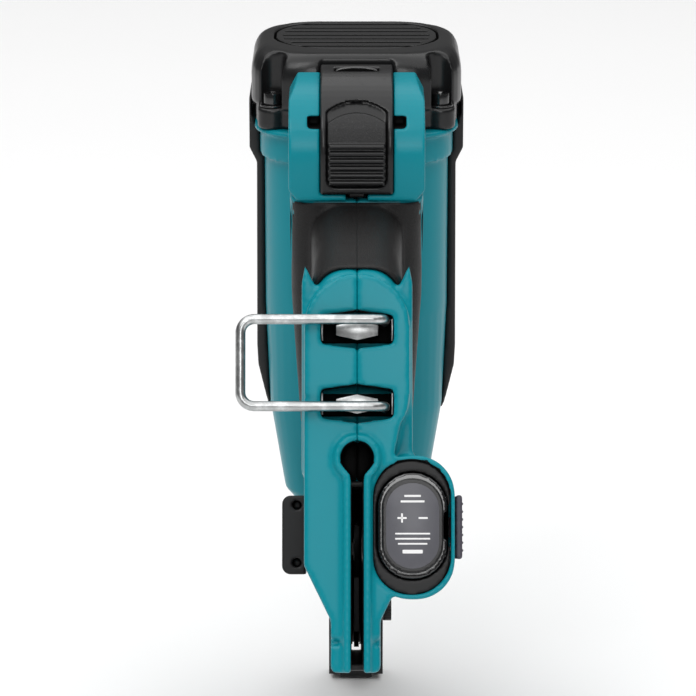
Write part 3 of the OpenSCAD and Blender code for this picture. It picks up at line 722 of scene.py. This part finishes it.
class NAILER_OT_head(bpy.types.Operator):
    """Head cap, filter grille, filter and cap screws with their washers"""

    bl_idname = "nailer.head"
    bl_label = "Head"

    def execute(self, context):
        trim = sizes().trim_voxel
        moulded("head_cap", "satin_black", "gloss_black", 1.5 * trim, 6, 140000)
        grille = moulded("filter_grille", "satin_black", "gloss_black", 1.1 * trim, 1, 120000)
        # Painted shade: the grille's faces that do not face up are coloured near-black, darkening its grooves
        paint_faces(grille, "shadow_black", lambda centre, normal: normal.z < 0.7)
        machined("cap_screws", "gloss_black", "steel_parts", 0.3 * MM)
        dress(frame["nodes"]["air_filter"], "filter_foam")
        low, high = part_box("cap_screws")
        head_r = 4.2 * MM
        for name, x in (("left", low.x + head_r), ("right", high.x - head_r)):
            for end, y in (("rear", low.y + head_r), ("front", high.y - head_r)):
                shape = ring(head_r + 0.15 * MM, head_r + 1.7 * MM, 1 * MM, 0.3 * MM)
                turn(shape, Matrix.Translation((x, y, high.z - 6.5 * MM)))
                add_piece(f"cap_washer_{name}_{end}", shape, "tool", "steel_parts", "gloss_black")
        return {"FINISHED"}


class NAILER_OT_guards(bpy.types.Operator):
    """Black side guards along the housing"""

    bl_idname = "nailer.guards"
    bl_label = "Side guards"

    def execute(self, context):
        for side in ("left", "right"):
            node = "side_guard_" + side
            moulded(node, "black_plastic", "black_plastic", 1.5 * sizes().trim_voxel, 4, 80000)
        return {"FINISHED"}


class NAILER_OT_bay(bpy.types.Operator):
    """Frame around the fuel bay, the door with its pull bar, and the latch with its thumb pad"""

    bl_idname = "nailer.bay"
    bl_label = "Fuel bay and door"

    def execute(self, context):
        trim = sizes().trim_voxel
        moulded("bay_frame", "bay_shell", "housing_shell", 1.2 * trim, 4, 110000)
        moulded("fuel_door", "satin_black", "gloss_black", trim, 3, 110000)
        latch = moulded("door_latch", "satin_black", "gloss_black", 0.7 * trim, 2, 110000)
        ribs_top = 297.4 * MM
        paint_faces(latch, "stippled_black",
                    lambda centre, normal: centre.z > ribs_top and normal.y < -0.2)
        machined("door_hinge_pin", "dark_steel", "steel_parts")
        reach = 9.6 * MM
        arch = [Vector((reach * math.sin(a), -54.6 * MM, (322.1 + 2.4 * math.cos(a)) * MM))
                for a in (math.pi / 2 * k / 8 for k in range(-8, 9))]
        add_piece("door_pull_bar", rod(arch, 0.8 * MM), "door", "gloss_black", "gloss_black", sharp=60)
        return {"FINISHED"}


class NAILER_OT_grip(bpy.types.Operator):
    """Rubber cover of the grip"""

    bl_idname = "nailer.grip"
    bl_label = "Grip"

    def execute(self, context):
        moulded("grip_cover", "grip_rubber", "soft_grip", 1.6 * sizes().trim_voxel, 16, 110000)
        return {"FINISHED"}


class NAILER_OT_engine(bpy.types.Operator):
    """Everything inside the head: chamber, fan, piston, spark plug and bumper"""

    bl_idname = "nailer.engine"
    bl_label = "Engine"

    def execute(self, context):
        for node in ("cylinder_head", "cylinder_liner", "chamber_sleeve", "piston"):
            dress(frame["nodes"][node], "cast_alloy")
        for node in ("head_seal", "bumper", "piston_ring"):
            dress(frame["nodes"][node], "soft_rubber")
        dress(frame["nodes"]["spark_plug"], "ceramic")
        dress(frame["nodes"]["fan_motor"], "dark_steel")
        dress(frame["nodes"]["fan"], "cast_alloy")
        dress(frame["nodes"]["driver_blade"], "machined_steel")
        dress(frame["nodes"]["fuel_cell"], "can_paint")
        dress(frame["nodes"]["fuel_valve"], "brass")
        return {"FINISHED"}


class NAILER_OT_nose(bpy.types.Operator):
    """Nose contact, its linkage and dial, and the driver guide"""

    bl_idname = "nailer.nose"
    bl_label = "Nose"

    def execute(self, context):
        machined("contact_foot", "dark_steel", "steel_parts")
        machined("contact_linkage", "machined_steel", "steel_parts")
        machined("nose_plate", "dark_steel", "steel_parts")
        dress(frame["nodes"]["driver_guide"], "dark_steel")
        dress(frame["nodes"]["nose_screws"], "machined_steel")
        moulded("nose_tip", "soft_rubber", "rubber_parts", 0.5 * MM, 2)
        machined("depth_dial", "satin_black", "black_plastic")
        return {"FINISHED"}


class NAILER_OT_magazine(bpy.types.Operator):
    """Magazine, its rails and nails, the pusher and its knob"""

    bl_idname = "nailer.magazine"
    bl_label = "Magazine"

    def execute(self, context):
        trim = sizes().trim_voxel
        moulded("magazine_body", "black_plastic", "black_plastic", 1.3 * trim, 2, 120000)
        moulded("pusher_knob", "black_plastic", "black_plastic", trim, 4, 60000)
        for node in ("magazine_rails", "pusher_spring"):
            dress(frame["nodes"][node], "dark_steel")
        dress(frame["nodes"]["nail_strip"], "zinc_wire")
        dress(frame["nodes"]["pusher"], "dark_steel")
        return {"FINISHED"}


class NAILER_OT_trigger(bpy.types.Operator):
    """Trigger with its pin and switch, and the circuit board"""

    bl_idname = "nailer.trigger"
    bl_label = "Trigger"

    def execute(self, context):
        moulded("trigger", "satin_black", "black_plastic", sizes().trim_voxel, 4, 60000)
        dress(frame["nodes"]["trigger_pin"], "machined_steel")
        dress(frame["nodes"]["trigger_switch"], "grey_plastic")
        dress(frame["nodes"]["circuit_board"], "solder_mask")
        return {"FINISHED"}


class NAILER_OT_springs(bpy.types.Operator):
    """The coil springs that a joint presses together, each copied as it stands from its CAD node"""

    bl_idname = "nailer.springs"
    bl_label = "Springs"

    def execute(self, context):
        for joint in frame["record"]["behaviour"]["joints"]:
            for item in joint.get("deforming_nodes", []):
                node, letter = item["node"], item["mode"][-1]
                fixed = item[f"fixed_end_{letter}_m"]
                low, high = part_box(node)
                spot = "xyz".index(letter)
                axis, anchor = Vector(), (low + high) / 2
                axis[spot], anchor[spot] = 1, fixed
                spring = add_piece(node + "_coil", merged_copy(node), NODE_BODY[node], "steel_parts",
                                   "machined_steel", sharp=60)
                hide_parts(node)
                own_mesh(spring)
        return {"FINISHED"}


class NAILER_OT_battery(bpy.types.Operator):
    """Battery with its printed end, the pocket lining, terminals and release button"""

    bl_idname = "nailer.battery"
    bl_label = "Battery"

    def execute(self, context):
        trim = sizes().trim_voxel
        moulded("battery_case", "gloss_black", "gloss_black", 1.2 * trim, 3, 90000)
        moulded("battery_cap", "satin_black", "gloss_black", 0.8 * trim, 3, 60000)
        moulded("battery_guide", "black_plastic", "black_plastic", 1.3 * trim, 3, 110000)
        moulded("release_button", "button_plastic", "grey_plastic", 0.8 * trim, 3, 60000)
        dress(frame["nodes"]["battery_terminals"], "brass")
        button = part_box("release_button")
        middle = (button[0] + button[1]) / 2
        for row in range(-3, 4):
            reach = (button[1].y - button[0].y) * 0.30
            along = tail_point(0, 0, 1)
            start = Vector((button[1].x - 0.1 * MM, middle.y, middle.z)) + tail_point(0, row * 3.4 * MM, 0)
            path = [start + along * (reach * step / 4) for step in range(-4, 5)]
            add_piece(f"button_rib_{row + 4}", rod(path, 0.7 * MM, 8), "button", "grey_plastic",
                      "button_plastic")
        cell_x, cell_w, face_u = 24.1 * MM, 73 * MM, 247.4 * MM
        label = plate(rounded_outline(11.6 * MM, 18.6 * MM, 11.5 * MM, 10), 0.35 * MM)
        break_edges(label, 0.1 * MM)
        on_face = tail_matrix(cell_x, cell_w, face_u)
        turn(label, on_face)
        add_piece("battery_label", label, "battery", "grey_plastic", "label_print")
        marks = bmesh.new()
        top = 0.3 * MM
        for across, up, half_x, half_y in LABEL_MARKS:
            corner = min(half_x, half_y) * 0.45
            bar = plate(rounded_outline(half_x * MM, half_y * MM, corner * MM, 3), 0.12 * MM)
            turn(bar, Matrix.Translation((across * MM, up * MM, top)))
            join(marks, bar)
        turn(marks, on_face)
        add_piece("battery_marks", marks, "battery", "grey_plastic", "ink")
        return {"FINISHED"}


class NAILER_OT_hook(bpy.types.Operator):
    """Wire belt hook and the bracket plates that hold it"""

    bl_idname = "nailer.hook"
    bl_label = "Belt hook"

    def execute(self, context):
        moulded("belt_hook", "zinc_wire", "zinc_wire", 0.5 * MM, 3, 60000)
        bracket = machined("hook_bracket", "zinc_wire", "zinc_wire", 0.4 * MM)
        pad_u = 237.6 * MM
        # Painted shade: the bracket's faces deeper in the windows than the pad are coloured near-black
        paint_faces(bracket, "shadow_black", lambda centre, normal: tail_reading(centre)[2] < pad_u)
        return {"FINISHED"}


class NAILER_OT_stage(bpy.types.Operator):
    """Pale floor, soft lights, white surroundings and the camera"""

    bl_idname = "nailer.stage"
    bl_label = "Stage"

    def execute(self, context):
        shape = bmesh.new()
        bmesh.ops.create_grid(shape, x_segments=2, y_segments=2, size=12)
        bmesh.ops.translate(shape, verts=shape.verts, vec=(0, 0, -1 * MM))
        mesh = bpy.data.meshes.new("floor")
        shape.to_mesh(mesh)
        shape.free()
        floor = bpy.data.objects.new("floor", mesh)
        bpy.context.scene.collection.objects.link(floor)
        dress(floor, "studio_floor")
        aim = Vector((-0.004, -0.110, 0.205))
        add_light("ceiling", (0, 0, 4), Vector((0, 0, 0)), 8, 335)
        add_light("key_light", (-0.7, -1.3, 1.9), aim, 0.9, 10)
        add_light("foot_sheen", (0.1, -2.5, 1.33), aim, 0.8, 12)
        world = bpy.data.worlds.new("studio")
        world.use_nodes = True
        world.node_tree.nodes["Background"].inputs["Color"].default_value = (1, 1, 1, 1)
        world.node_tree.nodes["Background"].inputs["Strength"].default_value = 0.15
        bpy.context.scene.world = world
        bpy.context.scene.view_settings.view_transform = "Standard"
        camera = bpy.data.cameras.new("camera")
        camera.lens = sizes().camera_lens
        camera.sensor_width = 36
        holder = bpy.data.objects.new("camera", camera)
        bpy.context.scene.collection.objects.link(holder)
        rise = sizes().camera_rise
        back = Vector((0, -math.cos(rise), math.sin(rise)))
        holder.location = aim + back * sizes().camera_distance
        holder.rotation_euler = (-back).to_track_quat("-Z", "Y").to_euler()
        bpy.context.scene.camera = holder
        return {"FINISHED"}


# ---------------------------------------------------------------- panel and registration


STEPS = [
    NAILER_OT_materials, NAILER_OT_stage, NAILER_OT_housing, NAILER_OT_head,
    NAILER_OT_guards, NAILER_OT_bay, NAILER_OT_grip, NAILER_OT_engine,
    NAILER_OT_nose, NAILER_OT_magazine, NAILER_OT_trigger, NAILER_OT_springs,
    NAILER_OT_battery, NAILER_OT_hook,
]


class NAILER_PT_build(bpy.types.Panel):
    """Lists the building steps, sizes and colours."""

    bl_idname = "NAILER_PT_build"
    bl_label = "Brad nailer"
    bl_space_type = "VIEW_3D"
    bl_region_type = "UI"
    bl_category = "Nailer"

    def draw(self, context):
        column = self.layout.column()
        for group in (context.scene.nailer_sizes, context.scene.nailer_colours):
            for name in group.bl_rna.properties.keys():
                if name not in ("rna_type", "name"):
                    column.prop(group, name)
        for made in STEPS:
            column.operator(made.bl_idname)


CLASSES = [NailerSizes, NailerColours, *STEPS, NAILER_PT_build]


def register():
    for made in CLASSES:
        bpy.utils.register_class(made)
    bpy.types.Scene.nailer_sizes = bpy.props.PointerProperty(type=NailerSizes)
    bpy.types.Scene.nailer_colours = bpy.props.PointerProperty(type=NailerColours)


def unregister():
    del bpy.types.Scene.nailer_colours
    del bpy.types.Scene.nailer_sizes
    for made in reversed(CLASSES):
        bpy.utils.unregister_class(made)


def main():
    register()
    for made in STEPS:
        group, name = made.bl_idname.split(".")
        getattr(getattr(bpy.ops, group), name)()


if __name__ == "__main__":
    main()
